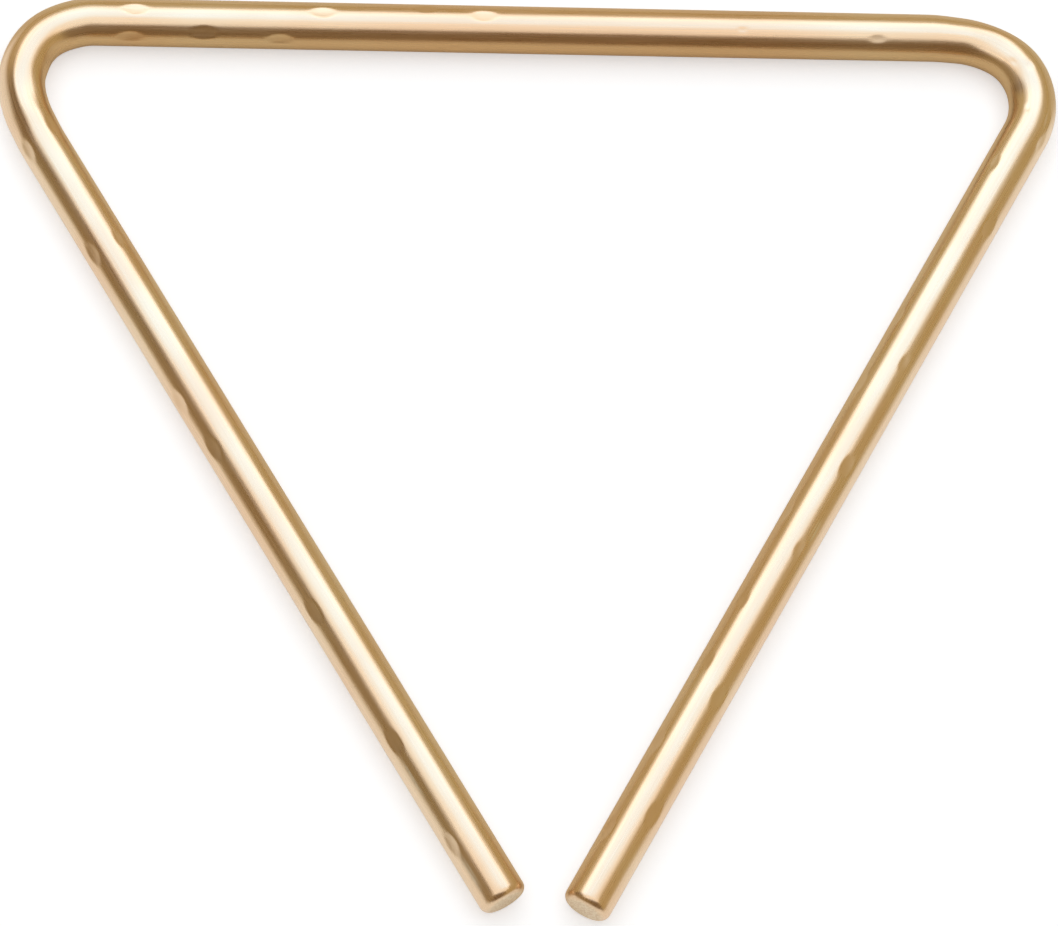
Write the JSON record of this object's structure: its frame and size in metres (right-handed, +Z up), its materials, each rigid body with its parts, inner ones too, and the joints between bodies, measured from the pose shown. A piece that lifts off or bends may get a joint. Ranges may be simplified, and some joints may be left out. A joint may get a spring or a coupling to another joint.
{
  "type": "triangle instrument",
  "caption": "Hammered bronze percussion triangle: a round rod bent at closed corners with one corner left open, hung from a corner and struck to ring.",
  "frame": {"origin": "on the table, under the middle of the outline of the triangle lying flat", "axes": "+X along the bar towards the right corner, +Y from the open corner towards the bar, +Z up out of the table"},
  "size_m": [0.2028, 0.1826, 0.0091],
  "materials": {
    "bronze": "polished bronze with hammer marks"
  },
  "bodies": {
    "root": {"triangle_rod": "bronze"}
  },
  "joints": []
}
